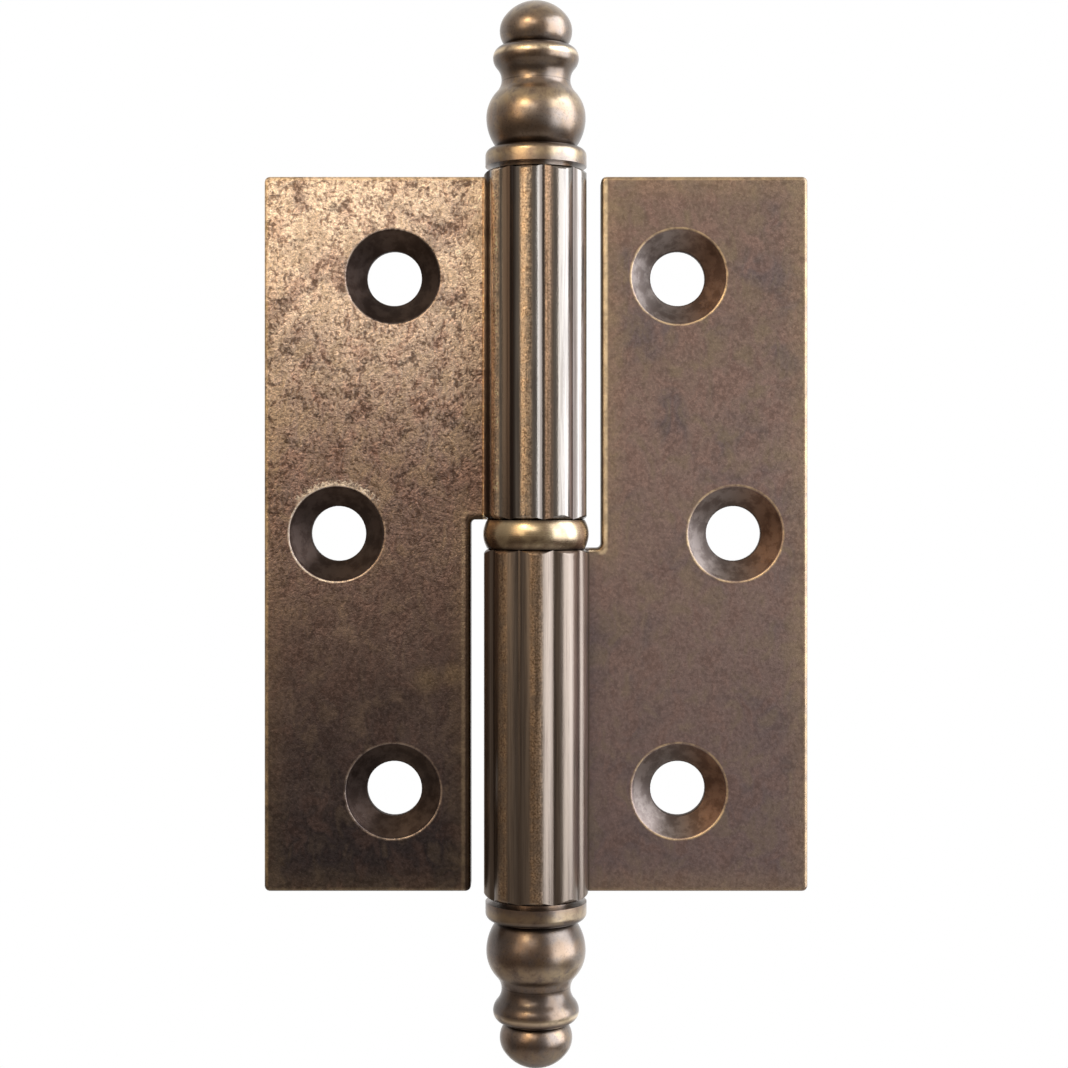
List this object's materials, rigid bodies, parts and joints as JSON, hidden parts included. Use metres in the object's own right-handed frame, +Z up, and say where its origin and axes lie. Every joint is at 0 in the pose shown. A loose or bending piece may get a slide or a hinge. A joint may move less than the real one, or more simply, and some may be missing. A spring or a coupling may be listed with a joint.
{
  "type": "decorative lift-off butt hinge",
  "caption": "Ornamental lift-off butt hinge in dark burnished brass: flat leaves with countersunk screw holes, a reeded barrel split by a bearing ring, and turned finials above and below.",
  "frame": {"origin": "on the pin axis at mid-height, in the middle of the bearing ring", "axes": "+Z up along the pin axis, +X towards the frame leaf, -Y out of the countersunk front faces"},
  "size_m": [0.0608, 0.0118, 0.119],
  "materials": {
    "leaf_brass": "dark burnished, mottled, rubbed bright on the edges",
    "ring_brass": "polished",
    "pin_steel": "ground",
    "finial_brass": "dark burnished, satin turned"
  },
  "bodies": {
    "frame": {"frame_leaf": "leaf_brass", "hinge_pin": "pin_steel", "lower_finial": "finial_brass"},
    "ring": {"bearing_ring": "ring_brass"},
    "door": {"door_leaf": "leaf_brass", "upper_finial": "finial_brass"}
  },
  "joints": [
    {"name": "swing", "type": "hinge", "parent": "frame", "child": "ring", "pos_m": [0, 0, 0], "axis": [0, 0, 1], "range_deg": [-120, 180]},
    {"name": "lift", "type": "slide", "parent": "ring", "child": "door", "axis": [0, 0, 1], "range_m": [0, 0.03]}
  ]
}
